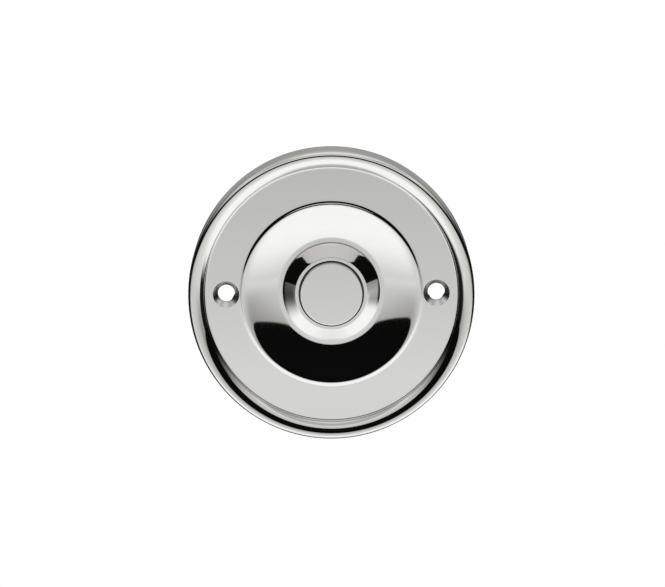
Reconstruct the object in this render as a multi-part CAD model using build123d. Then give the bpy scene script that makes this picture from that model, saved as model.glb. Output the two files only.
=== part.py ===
# Round doorbell push button for a door frame. A dished, bead-rimmed rose of chromed brass
# carries a flat push button in a raised conical boss. A moulded switch cup is screwed to
# the back of the rose and drops into a hole in the frame.
#
# Millimetres, +Z up. The face looks along -Y, the two wall screws lie on the X axis, and
# the origin is the centre of the rose's back edge, in the plane of the wall. A height is
# a distance in front of that plane, so what lies behind the wall has a negative height.

import os

from build123d import *

# Rose, from its rim inwards
ROSE_RADIUS = 38.1
FLAT_HEIGHT = 6.0
BEAD_RISE = 2.4
BEAD_WIDTH = 4.3
BEAD_OUTER_ROUND = 1.0
BEAD_QUIRK = 0.95
ARRIS_RISE = 0.35
ARRIS_WIDTH = 0.85
LIP_WIDTH = 1.8
LIP_DROP = 0.35
DISH_WIDTH = 9.65
DISH_DROP = 2.3
VALLEY_WIDTH = 1.3
BOSS_STEP = 0.6
BOSS_WIDTH = 3.4
BOSS_RISE = 1.65
LAND_WIDTH = 0.85

# Rose, walls and hollow back
FLAT_WALL = 2.0
SKIRT_WALL = 2.5
SKIRT_CHAMFER = 0.3
BEAD_HOLLOW_RISE = 1.6
BEAD_HOLLOW_WIDTH = 2.4
DISH_BACK_CURVE = 42.0
LAND_WALL = 1.75
VALLEY_WALL = 1.3

# Countersunk holes for the two wall screws
WALL_SCREW_INSET = 5.8
WALL_SCREW_HOLE_RADIUS = 2.3
COUNTERSINK_RADIUS = 3.5
COUNTERSINK_ANGLE = 90.0

# Push button
BUTTON_RADIUS = 8.3
BUTTON_CLEARANCE = 0.45
BUTTON_PROUD = 0.8
BUTTON_EDGE_ROUND = 0.2
BUTTON_TRAVEL = 1.5
FLANGE_OVERLAP = 0.65
FLANGE_THICKNESS = 1.0
FLANGE_SIDE_CLEARANCE = 0.8
NOSE_RADIUS = 2.4
NOSE_LENGTH = 1.6
NOSE_DOME = 0.4

# Room between pieces that meet without load
REST_GAP = 0.05

# Contacts
LEAF_THICKNESS = 0.3
LEAF_ROOT_RADIUS = 2.7
LEAF_END_RADIUS = 2.2
LEAF_OVERHANG = 1.4
STRIP_THICKNESS = 0.6
STRIP_ROOT_RADIUS = 3.0
STRIP_END_RADIUS = 2.2
STRIP_OVERHANG = 1.0
TIP_RADIUS = 1.6
TIP_THICKNESS = 0.5
TIP_CROWN = 0.15
TIP_SHANK_RADIUS = 0.7

# Brass posts that carry the contacts and take the terminal screws
POST_RADIUS = 2.4
POST_SHANK_RADIUS = 2.0
POST_SPIGOT_RADIUS = 1.1
POST_RIVET_RADIUS = 1.7
POST_RIVET_THICKNESS = 0.4
POST_END_WALL = 0.6

# Moulded switch cup
CUP_WALL = 1.2
CUP_FLOOR = 2.4
CUP_EDGE_ROUND = 0.6
CUP_SIDE_CLEARANCE = 0.2
GUIDE_RIB_WIDTH = 1.0
GUIDE_RIB_RISE = 0.4
GUIDE_RIB_LENGTH = 5.0
GUIDE_RIB_CLEARANCE = 0.1
BARRIER_WIDTH = 1.6
BARRIER_LENGTH = 16.0
BARRIER_RISE = 2.0

# Pillars under the rose, and the screws that hold the cup to them
PILLAR_RADIUS = 2.2
PILLAR_TAP_DEPTH = 4.5
CUP_SCREW_RADIUS = 1.25
CUP_SCREW_HEAD_RADIUS = 2.25
CUP_SCREW_HEAD_THICKNESS = 1.5
CUP_SCREW_SLOT_TURNS = (75.0, 10.0)
CUP_WASHER_RADIUS = 2.9
CUP_WASHER_THICKNESS = 0.5

# Terminal screws and their washers
TERMINAL_SCREW_RADIUS = 1.5
TERMINAL_HEAD_RADIUS = 2.75
TERMINAL_HEAD_THICKNESS = 1.7
TERMINAL_SLOT_TURNS = (35.0, -20.0)
TERMINAL_WASHER_RADIUS = 3.4
TERMINAL_WASHER_THICKNESS = 0.6

# Shared by all the small screws
THREAD_CLEARANCE = 0.03
THREAD_END_GAP = 0.4
HOLE_CLEARANCE = 0.15
SLOT_WIDTH = 0.7
SLOT_DEPTH = 0.7
SCREW_HEAD_ROUND = 0.25

# Heights that follow, front to back
BEAD_HEIGHT = FLAT_HEIGHT + BEAD_RISE
ARRIS_HEIGHT = FLAT_HEIGHT + ARRIS_RISE
LIP_HEIGHT = ARRIS_HEIGHT - LIP_DROP
FLAT_BACK = FLAT_HEIGHT - FLAT_WALL
VALLEY_HEIGHT = FLAT_HEIGHT - DISH_DROP
BOSS_EDGE_HEIGHT = VALLEY_HEIGHT + BOSS_STEP
LAND_HEIGHT = BOSS_EDGE_HEIGHT + BOSS_RISE
BUTTON_HEIGHT = LAND_HEIGHT + BUTTON_PROUD
BORE_END_HEIGHT = LAND_HEIGHT - LAND_WALL
SEAT_HEIGHT = VALLEY_HEIGHT - VALLEY_WALL
FLANGE_TOP = BORE_END_HEIGHT - REST_GAP
FLANGE_BOTTOM = FLANGE_TOP - FLANGE_THICKNESS
NOSE_END = FLANGE_BOTTOM - NOSE_LENGTH
LEAF_TOP = NOSE_END - REST_GAP
LEAF_BOTTOM = LEAF_TOP - LEAF_THICKNESS
MOVING_TIP_END = LEAF_BOTTOM - TIP_THICKNESS
FIXED_TIP_TOP = MOVING_TIP_END - BUTTON_TRAVEL - REST_GAP
STRIP_TOP = FIXED_TIP_TOP - TIP_THICKNESS
FLOOR_HEIGHT = STRIP_TOP - STRIP_THICKNESS
CUP_BACK = FLOOR_HEIGHT - CUP_FLOOR
POST_TAP_END = LEAF_BOTTOM - POST_END_WALL
PILLAR_TAP_END = FLOOR_HEIGHT + PILLAR_TAP_DEPTH

# Radii that follow, from the button outwards
BORE_RADIUS = BUTTON_RADIUS + BUTTON_CLEARANCE
LAND_OUTER_RADIUS = BORE_RADIUS + LAND_WIDTH
VALLEY_INNER_RADIUS = LAND_OUTER_RADIUS + BOSS_WIDTH
VALLEY_OUTER_RADIUS = VALLEY_INNER_RADIUS + VALLEY_WIDTH
ARRIS_RADIUS = VALLEY_OUTER_RADIUS + DISH_WIDTH
ARRIS_FOOT_RADIUS = ARRIS_RADIUS + ARRIS_WIDTH
LIP_RADIUS = ARRIS_RADIUS - LIP_WIDTH
BEAD_INNER_RADIUS = ROSE_RADIUS - BEAD_WIDTH
BEAD_CREST_RADIUS = ROSE_RADIUS - BEAD_OUTER_ROUND
SKIRT_INNER_RADIUS = ROSE_RADIUS - SKIRT_WALL
WALL_SCREW_OFFSET = BEAD_INNER_RADIUS - WALL_SCREW_INSET
FLANGE_RADIUS = BORE_RADIUS + FLANGE_OVERLAP
COUNTERBORE_RADIUS = FLANGE_RADIUS + FLANGE_SIDE_CLEARANCE
PILLAR_OFFSET = COUNTERBORE_RADIUS + PILLAR_RADIUS
CUP_INNER_RADIUS = PILLAR_OFFSET + PILLAR_RADIUS + CUP_SIDE_CLEARANCE
CUP_RADIUS = CUP_INNER_RADIUS + CUP_WALL
CONTACT_OFFSET = CUP_INNER_RADIUS - CUP_SIDE_CLEARANCE - STRIP_ROOT_RADIUS


def at(radius, height):
    """A point of a turned profile."""
    return (radius, -height)


def across(x, z, height):
    """A plane parallel to the wall, at a height, whose normal points to the front."""
    return Plane(origin=(x, -height, z), x_dir=(1, 0, 0), z_dir=(0, -1, 0))


def disc(radius, bottom, top, x=0.0, z=0.0):
    """A round bar between two heights."""
    with BuildPart(across(x, z, bottom)) as bar:
        Cylinder(radius, top - bottom, align=(Align.CENTER, Align.CENTER, Align.MIN))
    return bar.part


def turned(*edges):
    """A solid turned about the button's axis from the edges of half its section."""
    return revolve(make_face(edges), Axis.Y)


def rose_plate():
    """The chromed rose: skirt, bead, flat band, dish and boss, hollow behind, in one casting."""
    skirt_foot = at(ROSE_RADIUS, 0)
    bead_side = at(ROSE_RADIUS, BEAD_HEIGHT - BEAD_OUTER_ROUND)
    bead_crest = at(BEAD_CREST_RADIUS, BEAD_HEIGHT)
    quirk_top = at(BEAD_INNER_RADIUS, FLAT_HEIGHT + BEAD_QUIRK)
    quirk_foot = at(BEAD_INNER_RADIUS, FLAT_HEIGHT)
    arris_foot = at(ARRIS_FOOT_RADIUS, FLAT_HEIGHT)
    arris = at(ARRIS_RADIUS, ARRIS_HEIGHT)
    lip_end = at(LIP_RADIUS, LIP_HEIGHT)
    dish_foot = at(VALLEY_OUTER_RADIUS, VALLEY_HEIGHT)
    boss_foot = at(VALLEY_INNER_RADIUS, VALLEY_HEIGHT)
    boss_edge = at(VALLEY_INNER_RADIUS, BOSS_EDGE_HEIGHT)
    land_edge = at(LAND_OUTER_RADIUS, LAND_HEIGHT)
    bore_front = at(BORE_RADIUS, LAND_HEIGHT)
    bore_back = at(BORE_RADIUS, BORE_END_HEIGHT)
    counterbore_end = at(COUNTERBORE_RADIUS, BORE_END_HEIGHT)
    seat_inner = at(COUNTERBORE_RADIUS, SEAT_HEIGHT)
    seat_outer = at(CUP_RADIUS, SEAT_HEIGHT)
    dish_back = at(ARRIS_FOOT_RADIUS, FLAT_BACK)
    hollow_start = at(SKIRT_INNER_RADIUS - BEAD_HOLLOW_WIDTH, FLAT_BACK)
    hollow_top = at(SKIRT_INNER_RADIUS, FLAT_BACK + BEAD_HOLLOW_RISE)
    skirt_inside = at(SKIRT_INNER_RADIUS, 0)
    lip = TangentArc(arris, lip_end, tangent=(-1, 0))
    body = turned(
        Line(skirt_foot, bead_side),
        TangentArc(bead_side, bead_crest, tangent=(0, -1)),
        TangentArc(bead_crest, quirk_top, tangent=(-1, 0)),
        Line(quirk_top, quirk_foot),
        Line(quirk_foot, arris_foot),
        TangentArc(arris, arris_foot, tangent=(1, 0)),
        lip,
        TangentArc(lip_end, dish_foot, tangent=lip % 1),
        Line(dish_foot, boss_foot),
        Line(boss_foot, boss_edge),
        Line(boss_edge, land_edge),
        Line(land_edge, bore_front),
        Line(bore_front, bore_back),
        Line(bore_back, counterbore_end),
        Line(counterbore_end, seat_inner),
        Line(seat_inner, seat_outer),
        RadiusArc(seat_outer, dish_back, DISH_BACK_CURVE),
        Line(dish_back, hollow_start),
        Line(hollow_start, hollow_top),
        Line(hollow_top, skirt_inside),
        Line(skirt_inside, skirt_foot),
    )
    skirt_edge = body.edges().filter_by(GeomType.CIRCLE).sort_by(Axis.Y)[-2:]
    body = chamfer(skirt_edge, SKIRT_CHAMFER)
    for side in (-1, 1):
        body += disc(PILLAR_RADIUS, FLOOR_HEIGHT, SEAT_HEIGHT, z=side * PILLAR_OFFSET)
        body -= disc(CUP_SCREW_RADIUS, FLOOR_HEIGHT, PILLAR_TAP_END, z=side * PILLAR_OFFSET)
        body -= across(side * WALL_SCREW_OFFSET, 0, FLAT_HEIGHT) * CounterSinkHole(
            WALL_SCREW_HOLE_RADIUS,
            COUNTERSINK_RADIUS,
            depth=FLAT_HEIGHT,
            counter_sink_angle=COUNTERSINK_ANGLE,
        )
    return body


def push_button():
    """The turned button: flat face, retaining flange, and a domed nose that bends the leaf."""
    face_edge = at(BUTTON_RADIUS - BUTTON_EDGE_ROUND, BUTTON_HEIGHT)
    face_side = at(BUTTON_RADIUS, BUTTON_HEIGHT - BUTTON_EDGE_ROUND)
    nose_side = at(NOSE_RADIUS, NOSE_END + NOSE_DOME)
    return turned(
        Line(at(0, BUTTON_HEIGHT), face_edge),
        TangentArc(face_edge, face_side, tangent=(1, 0)),
        Polyline(
            face_side,
            at(BUTTON_RADIUS, FLANGE_TOP),
            at(FLANGE_RADIUS, FLANGE_TOP),
            at(FLANGE_RADIUS, FLANGE_BOTTOM),
            at(NOSE_RADIUS, FLANGE_BOTTOM),
            nose_side,
        ),
        TangentArc(at(0, NOSE_END), nose_side, tangent=(1, 0)),
        Line(at(0, NOSE_END), at(0, BUTTON_HEIGHT)),
    )


def contact_strip(root_x, root_radius, end_x, end_radius, bottom, thickness, root_hole):
    """A flat strip with round ends, holed for its post and for the rivet of its contact tip."""
    with BuildPart() as strip:
        with BuildSketch(across(0, 0, bottom)):
            with Locations((root_x, 0)):
                Circle(root_radius)
            with Locations((end_x, 0)):
                Circle(end_radius)
            make_hull()
            with Locations((root_x, 0)):
                Circle(root_hole, mode=Mode.SUBTRACT)
            Circle(TIP_SHANK_RADIUS, mode=Mode.SUBTRACT)
        extrude(amount=thickness)
    return strip.part


def leaf_spring():
    """The springy leaf: it returns the button and carries the moving contact."""
    return contact_strip(
        -CONTACT_OFFSET, LEAF_ROOT_RADIUS, LEAF_OVERHANG, LEAF_END_RADIUS, LEAF_BOTTOM, LEAF_THICKNESS,
        POST_SPIGOT_RADIUS,
    )


def fixed_contact():
    """The stiff strip on the cup's floor, under the leaf."""
    return contact_strip(
        CONTACT_OFFSET, STRIP_ROOT_RADIUS, -STRIP_OVERHANG, STRIP_END_RADIUS, FLOOR_HEIGHT, STRIP_THICKNESS,
        POST_SHANK_RADIUS,
    )


def contact_tip(crown, face, shank_end):
    """A silver contact rivet: crowned head, and a shank that fills the hole in its strip."""
    towards_strip = 1 if face > crown else -1
    rim = crown + towards_strip * TIP_CROWN
    return turned(
        Polyline(
            at(0, crown),
            at(0, shank_end),
            at(TIP_SHANK_RADIUS, shank_end),
            at(TIP_SHANK_RADIUS, face),
            at(TIP_RADIUS, face),
            at(TIP_RADIUS, rim),
        ),
        TangentArc(at(0, crown), at(TIP_RADIUS, rim), tangent=(1, 0)),
    )


def tapped(body, x):
    """A post's body with the thread of its terminal screw, which enters from behind."""
    return body - disc(TERMINAL_SCREW_RADIUS, CUP_BACK, POST_TAP_END, x=x)


def leaf_post():
    """The tall brass post: the leaf sits on its shoulder, under a head spun over from its spigot."""
    x = -CONTACT_OFFSET
    body = disc(POST_SHANK_RADIUS, CUP_BACK, FLOOR_HEIGHT, x=x)
    body += disc(POST_RADIUS, FLOOR_HEIGHT, LEAF_BOTTOM, x=x)
    body += disc(POST_SPIGOT_RADIUS, LEAF_BOTTOM, LEAF_TOP, x=x)
    body += disc(POST_RIVET_RADIUS, LEAF_TOP, LEAF_TOP + POST_RIVET_THICKNESS, x=x)
    return tapped(body, x)


def fixed_post():
    """The short brass post: a headed bush that clamps the stiff strip to the cup's floor."""
    x = CONTACT_OFFSET
    body = disc(POST_SHANK_RADIUS, CUP_BACK, STRIP_TOP, x=x)
    body += disc(POST_RADIUS, STRIP_TOP, POST_TAP_END + POST_END_WALL, x=x)
    return tapped(body, x)


def switch_cup():
    """The moulded cup: floor and wall, guide ribs for the strip, and a barrier between the terminals."""
    body = disc(CUP_RADIUS, CUP_BACK, SEAT_HEIGHT)
    body -= disc(CUP_INNER_RADIUS, FLOOR_HEIGHT, SEAT_HEIGHT)
    back_edge = body.edges().filter_by(GeomType.CIRCLE).sort_by(Axis.Y)[-1]
    body = fillet(back_edge, CUP_EDGE_ROUND)
    rib_offset = STRIP_ROOT_RADIUS + GUIDE_RIB_CLEARANCE + GUIDE_RIB_WIDTH / 2
    rib_height = STRIP_THICKNESS + GUIDE_RIB_RISE
    for side in (-1, 1):
        rib_place = across(CONTACT_OFFSET / 2, side * rib_offset, FLOOR_HEIGHT)
        body += rib_place * Box(
            GUIDE_RIB_LENGTH, GUIDE_RIB_WIDTH, rib_height, align=(Align.CENTER, Align.CENTER, Align.MIN)
        )
        body -= disc(POST_SHANK_RADIUS, CUP_BACK, FLOOR_HEIGHT, x=side * CONTACT_OFFSET)
        screw_hole = CUP_SCREW_RADIUS + HOLE_CLEARANCE
        body -= disc(screw_hole, CUP_BACK, FLOOR_HEIGHT, z=side * PILLAR_OFFSET)
    body += across(0, 0, CUP_BACK - BARRIER_RISE) * Box(
        BARRIER_WIDTH, BARRIER_LENGTH, BARRIER_RISE, align=(Align.CENTER, Align.CENTER, Align.MIN)
    )
    return body


def washer(x, z, radius, hole, thickness):
    """A plain washer on the back of the cup."""
    ring = disc(radius, CUP_BACK - thickness, CUP_BACK, x=x, z=z)
    return ring - disc(hole, CUP_BACK - thickness, CUP_BACK, x=x, z=z)


def screw(x, z, thread, thread_end, head, head_thickness, washer_thickness, slot_turn):
    """A slotted cheese-head screw, driven from behind through its washer."""
    seat = CUP_BACK - washer_thickness
    head_end = seat - head_thickness
    body = disc(head, head_end, seat, x=x, z=z)
    outer_edge = body.edges().filter_by(GeomType.CIRCLE).sort_by(Axis.Y)[-1]
    body = fillet(outer_edge, SCREW_HEAD_ROUND)
    body += disc(thread - THREAD_CLEARANCE, seat, thread_end, x=x, z=z)
    slot = Box(2 * head, SLOT_WIDTH, SLOT_DEPTH, align=(Align.CENTER, Align.CENTER, Align.MIN))
    return body - across(x, z, head_end) * Rot(0, 0, slot_turn) * slot


def terminal_screws():
    """The two wire screws, one to each post."""
    thread_end = POST_TAP_END - THREAD_END_GAP
    return [
        screw(
            side * CONTACT_OFFSET, 0, TERMINAL_SCREW_RADIUS, thread_end, TERMINAL_HEAD_RADIUS,
            TERMINAL_HEAD_THICKNESS, TERMINAL_WASHER_THICKNESS, slot_turn,
        )
        for side, slot_turn in zip((-1, 1), TERMINAL_SLOT_TURNS)
    ]


def terminal_washers():
    """The washers that press the wires against the posts."""
    hole = TERMINAL_SCREW_RADIUS + HOLE_CLEARANCE
    return [
        washer(side * CONTACT_OFFSET, 0, TERMINAL_WASHER_RADIUS, hole, TERMINAL_WASHER_THICKNESS)
        for side in (-1, 1)
    ]


def cup_screws():
    """The two screws that hold the cup to the rose's pillars."""
    thread_end = PILLAR_TAP_END - THREAD_END_GAP
    return [
        screw(
            0, side * PILLAR_OFFSET, CUP_SCREW_RADIUS, thread_end, CUP_SCREW_HEAD_RADIUS,
            CUP_SCREW_HEAD_THICKNESS, CUP_WASHER_THICKNESS, slot_turn,
        )
        for side, slot_turn in zip((-1, 1), CUP_SCREW_SLOT_TURNS)
    ]


def cup_washers():
    """The washers under the cup's screws."""
    hole = CUP_SCREW_RADIUS + HOLE_CLEARANCE
    return [
        washer(0, side * PILLAR_OFFSET, CUP_WASHER_RADIUS, hole, CUP_WASHER_THICKNESS)
        for side in (-1, 1)
    ]


NODES = {
    "rose_plate": rose_plate(),
    "push_button": push_button(),
    "switch_cup": switch_cup(),
    "leaf_spring": leaf_spring(),
    "fixed_contact": fixed_contact(),
    "moving_contact_tip": contact_tip(MOVING_TIP_END, LEAF_BOTTOM, LEAF_TOP),
    "fixed_contact_tip": contact_tip(FIXED_TIP_TOP, STRIP_TOP, FLOOR_HEIGHT),
    "leaf_post": leaf_post(),
    "fixed_post": fixed_post(),
    "terminal_screws": Compound(terminal_screws()),
    "terminal_washers": Compound(terminal_washers()),
    "cup_screws": Compound(cup_screws()),
    "cup_washers": Compound(cup_washers()),
}

os.makedirs("parts", exist_ok=True)
for node, shape in NODES.items():
    export_step(shape, f"parts/{node}.step")
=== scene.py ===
# %% [markdown]
# # A round doorbell push button
#
# The object is a chromed brass rose, about as wide as a palm, with a flat button in a raised
# conical boss. Behind the rose sits a moulded cup with the switch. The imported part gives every
# piece its place and size, so this lesson only dresses it: it turns the metal pieces on a
# finer lathe, gives each surface its finish, and lights the chrome the way a photographer would.

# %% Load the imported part
import math

import bmesh
import bpy
from mathutils import Matrix, Vector


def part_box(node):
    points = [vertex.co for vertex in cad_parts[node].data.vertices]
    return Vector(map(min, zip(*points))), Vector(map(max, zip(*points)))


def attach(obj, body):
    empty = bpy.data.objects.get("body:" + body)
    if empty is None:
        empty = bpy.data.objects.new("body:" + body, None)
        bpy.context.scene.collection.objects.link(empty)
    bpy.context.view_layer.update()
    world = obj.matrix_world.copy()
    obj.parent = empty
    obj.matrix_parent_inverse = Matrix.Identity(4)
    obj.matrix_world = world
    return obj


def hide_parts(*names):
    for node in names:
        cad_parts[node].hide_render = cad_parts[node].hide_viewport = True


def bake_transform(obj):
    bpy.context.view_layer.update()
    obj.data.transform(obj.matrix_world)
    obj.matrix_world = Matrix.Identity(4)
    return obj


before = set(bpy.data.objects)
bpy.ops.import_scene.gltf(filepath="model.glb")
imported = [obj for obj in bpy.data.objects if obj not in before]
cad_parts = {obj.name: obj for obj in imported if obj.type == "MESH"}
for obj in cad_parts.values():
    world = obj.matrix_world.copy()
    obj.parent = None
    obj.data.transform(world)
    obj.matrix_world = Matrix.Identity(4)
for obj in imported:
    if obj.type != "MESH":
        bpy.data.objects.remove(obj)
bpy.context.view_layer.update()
MM = 0.001
print("nodes:", sorted(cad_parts))

# %% [markdown]
# ## Two small helpers
#
# A colour picked from a picture is in sRGB, while a shader works in linear light, so one
# function turns a hex value into linear light. Another adds a node to any tree: its own
# settings are named, and each input takes either a plain value, a socket to link, or a list
# of sockets.

# %% Colours and nodes
CHROME_GREY = "#c8c8c5"


def linear(colour):
    """Linear light, with alpha, from an sRGB hex value."""
    channels = [int(colour[place:place + 2], 16) / 255 for place in (1, 3, 5)]
    light = [c / 12.92 if c <= 0.04045 else ((c + 0.055) / 1.055) ** 2.4 for c in channels]
    return (*light, 1.0)


def add(tree, kind, inputs=None, **settings):
    """A new node of a tree, with its settings made and its inputs set or linked."""
    made = tree.nodes.new(kind)
    for name, value in settings.items():
        setattr(made, name, value)
    for key, given in (inputs or {}).items():
        for value in given if isinstance(given, list) else [given]:
            if isinstance(value, bpy.types.NodeSocket):
                tree.links.new(value, made.inputs[key])
            else:
                made.inputs[key].default_value = value
    return made


print("chrome, in linear light:", [round(c, 3) for c in linear(CHROME_GREY)])

# %% [markdown]
# ## Polished chrome
#
# Bright chrome on polished brass is nearly a mirror of a light grey. One roughness all over would
# do, but it would look computed, because a polishing mop leaves a breath of haze that comes and
# goes. So a soft noise moves the roughness by a hair. The same shader, made rougher, serves the
# countersinks, where the plating lies over the rings that the cutter left.

# %% Chrome
HAZE_MM = 9.0
HAZE_DETAIL = 4.0


def new_material(name):
    """A material with an empty tree, and that tree."""
    material = bpy.data.materials.new(name)
    material.use_nodes = True
    material.node_tree.nodes.clear()
    return material, material.node_tree


def pattern_scale(size_mm):
    """A texture's scale for features of a real size, with the scene in metres."""
    return 1.0 / (size_mm * MM)


def chrome(name, rough):
    """Bright chrome over brass: a grey mirror whose haze wanders between two roughnesses."""
    material, tree = new_material(name)
    place = add(tree, "ShaderNodeTexCoord").outputs["Object"]
    haze = add(tree, "ShaderNodeTexNoise", {
        "Vector": place, "Scale": pattern_scale(HAZE_MM), "Detail": HAZE_DETAIL,
    }).outputs["Fac"]
    gloss = add(tree, "ShaderNodeMapRange", {"Value": haze, "To Min": rough[0], "To Max": rough[1]})
    shader = add(tree, "ShaderNodeBsdfPrincipled", {
        "Base Color": linear(CHROME_GREY),
        "Metallic": 1.0,
        "Roughness": gloss.outputs["Result"],
    })
    add(tree, "ShaderNodeOutputMaterial", {"Surface": shader.outputs["BSDF"]})
    return material


# Mopped to a clear mirror, with only a breath of haze
CHROME = chrome("polished_chrome", rough=(0.03, 0.06))
# Plated over the countersink's cut, whose fine rings blur what it mirrors
CUT_CHROME = chrome("countersunk_chrome", rough=(0.17, 0.25))
print("made", CHROME.name, "and", CUT_CHROME.name)

# %% [markdown]
# ## Metal that no mop reaches
#
# In the bore and behind, the plating stays as it came from its bath. A plain grey would look like
# paint there, so one noise, with a grain of a real size, moves both the tone and the gloss. The
# pieces of the switch will need the same, and a rolled strip needs its grain drawn out along an
# axis, so this is a function.

# %% Dull plating
def worked_surface(name, dark, light, grain_mm, rough, drawn=(1, 1, 1), metal=1.0, detail=6.0):
    """A surface as it was worked: tone and gloss wander over a grain, drawn out if it was rolled."""
    material, tree = new_material(name)
    place = add(tree, "ShaderNodeTexCoord").outputs["Object"]
    along = add(tree, "ShaderNodeVectorMath", {0: place, 1: drawn}, operation="MULTIPLY").outputs[0]
    grain = add(tree, "ShaderNodeTexNoise", {
        "Vector": along, "Scale": pattern_scale(grain_mm), "Detail": detail,
    }).outputs["Fac"]
    tone = add(tree, "ShaderNodeMix", {
        "Factor": grain, "A": linear(dark), "B": linear(light),
    }, data_type="RGBA")
    gloss = add(tree, "ShaderNodeMapRange", {"Value": grain, "To Min": rough[0], "To Max": rough[1]})
    shader = add(tree, "ShaderNodeBsdfPrincipled", {
        "Base Color": tone.outputs["Result"],
        "Metallic": metal,
        "Roughness": gloss.outputs["Result"],
    })
    add(tree, "ShaderNodeOutputMaterial", {"Surface": shader.outputs["BSDF"]})
    return material


# Unpolished plating under a film of grime: grey and grainy, without a mirror
DULL = worked_surface("dull_plating", "#74716c", "#a19e98", grain_mm=0.6, rough=(0.4, 0.6), metal=0.4)
print("made", DULL.name)

# %% [markdown]
# ## Turning
#
# The rose and the button are lathe work: one outline, turned about the button's axis. The
# outline is a chain of straight and round runs in millimetres, radius first and height above
# the wall second. Polishing eases every corner, so each corner takes its own small radius.

# %% Runs of an outline
ARC_STEP_DEG = 4.0
ARC_STEP_MM = 0.8
HOLD_MM = 0.8
HOLD_SHARE = 0.3


def straight(start, end):
    """A straight run, with a point near each end so that the face between them shades flat."""
    start, end = Vector(start), Vector(end)
    hold = min(HOLD_MM / (end - start).length, HOLD_SHARE)
    return [start.lerp(end, share) for share in (0.0, hold, 1.0 - hold, 1.0)]


def bowed(start, end, turn_deg):
    """A round run that turns by an angle on its way, to the left where the angle is positive."""
    start, end = Vector(start), Vector(end)
    turn = math.radians(turn_deg)
    chord = end - start
    radius = chord.length / (2 * math.sin(abs(turn) / 2))
    steps = max(math.ceil(abs(turn_deg) / ARC_STEP_DEG), math.ceil(radius * abs(turn) / ARC_STEP_MM))
    heading = math.atan2(chord.y, chord.x) - turn / 2
    points = [start]
    for step in range(1, steps + 1):
        swept = turn * step / steps
        reach = 2 * radius * math.sin(abs(swept) / 2)
        along = heading + swept / 2
        points.append(start + Vector((math.cos(along), math.sin(along))) * reach)
    return points


print("a quarter round of 1 mm has", len(bowed((1, 0), (0, 1), 90)), "points")

# %% [markdown]
# ## Easing the corners
#
# A bevel on the finished mesh would ease every edge alike, while here each corner has its own
# radius. So the outline is eased: both runs at a corner are cut back a little, and a short curve
# joins them.

# %% Eased corners
EASE_STEPS = 6
LEAST_BEND = 0.01


def shortened(points, length):
    """A run with some length cut from its start."""
    points = list(points)
    while length > 0 and (points[1] - points[0]).length <= length:
        length -= (points[1] - points[0]).length
        points.pop(0)
    points[0] = points[0] + (points[1] - points[0]).normalized() * length
    return points


def eased(first_run, *corners):
    """One outline from runs that meet at corners. Each later run comes after its corner's radius."""
    outline = list(first_run)
    for radius, run in corners:
        corner = run[0].copy()
        arriving = (outline[-1] - outline[-2]).normalized()
        leaving = (run[1] - run[0]).normalized()
        bend = arriving.angle(leaving)
        if not radius or bend <= LEAST_BEND:
            outline.extend(run[1:])
            continue
        cut = radius * math.tan(bend / 2)
        outline = shortened(outline[::-1], cut)[::-1]
        run = shortened(run, cut)
        first, last = outline[-1].copy(), run[0].copy()
        for step in range(1, EASE_STEPS):
            share = step / EASE_STEPS
            outline.append(first.lerp(corner, share).lerp(corner.lerp(last, share), share))
        outline.extend(run)
    return outline


square = eased(straight((0, 0), (1, 0)), (0.2, straight((1, 0), (1, 1))))
print("a square corner, eased, has", len(square), "points")

# %% [markdown]
# ## Three sums about arcs
#
# Many runs of the rose are arcs that flow into one another. Their ends could be worked out by
# hand and typed in, but then nobody could change a size. These three sums find what an arc
# lacks from what is known of it.

# %% Arcs
def turn_of_tangent(width, rise):
    """How far an arc turns that starts level and reaches a point so far along and so far up."""
    return 2 * math.degrees(math.atan2(rise, width))


def turn_of_radius(start, end, radius):
    """How far an arc of a given radius turns between two points."""
    return 2 * math.degrees(math.asin((Vector(end) - Vector(start)).length / 2 / radius))


def arc_end(start, heading_deg, turn_deg, radius):
    """Where an arc ends that leaves a point on a heading and turns by an angle, left if positive."""
    reach = 2 * radius * math.sin(math.radians(abs(turn_deg)) / 2)
    along = math.radians(heading_deg + turn_deg / 2)
    return (start[0] + reach * math.cos(along), start[1] + reach * math.sin(along))


print("an arc that rises as far as it runs turns by", turn_of_tangent(1, 1), "degrees")

# %% [markdown]
# ## The face of the rose
#
# From its foot the rose rises in a skirt, rolls over a fat bead, drops into a quirk, and crosses
# a flat band to a small rise, the arris. Inside that lies a shallow dish, a narrow valley, and
# the cone of the boss, which ends in a flat land round the button. Radii and heights follow the
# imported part's, and the two that its box gives are measured from it. The mop has softened them
# by a hair: the arris is a low wave, the dish hangs a little deeper from it, and the skirt bulges
# below the bead. A mirror shows even a hair, so these are drawn too.

# %% Rose face
rose_low, rose_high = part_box("rose_plate")
ROSE_RADIUS = rose_high.x / MM
FOOT_CHAMFER = 0.3
FOOT_EASE = 0.1
BARREL_LENGTH = 2.0
BARREL_DEG = 8.0
BEAD_HEIGHT = -rose_low.y / MM
BEAD_CREST = 36.95
BEAD_WIDTH = 4.3
BEAD_EASE = 0.2
QUIRK = 0.95
QUIRK_EASE = 0.45
FLAT_HEIGHT = 6.0
ARRIS_FOOT = 24.74
ARRIS_FOOT_CURVE = 1.6
ARRIS_TOP_CURVE = 0.8
ARRIS_SLOPE_DEG = 25.0
LIP_CURVE = 1.1
LIP_START_DEG = 10.0
LIP_SLOPE_DEG = 22.0
LIP_RADIUS = 22.15
DISH_DROP = 2.3
DISH_EASE = 2.0
VALLEY_OUTER = 14.3
VALLEY_INNER = 13.0
BOSS_FOOT_EASE = 0.12
BOSS_EDGE_HEIGHT = 4.3
BOSS_EDGE_EASE = 0.08
LAND_OUTER = 9.6
LAND_HEIGHT = 5.95
LAND_EASE = 0.2
BORE_RADIUS = 8.75


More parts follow.
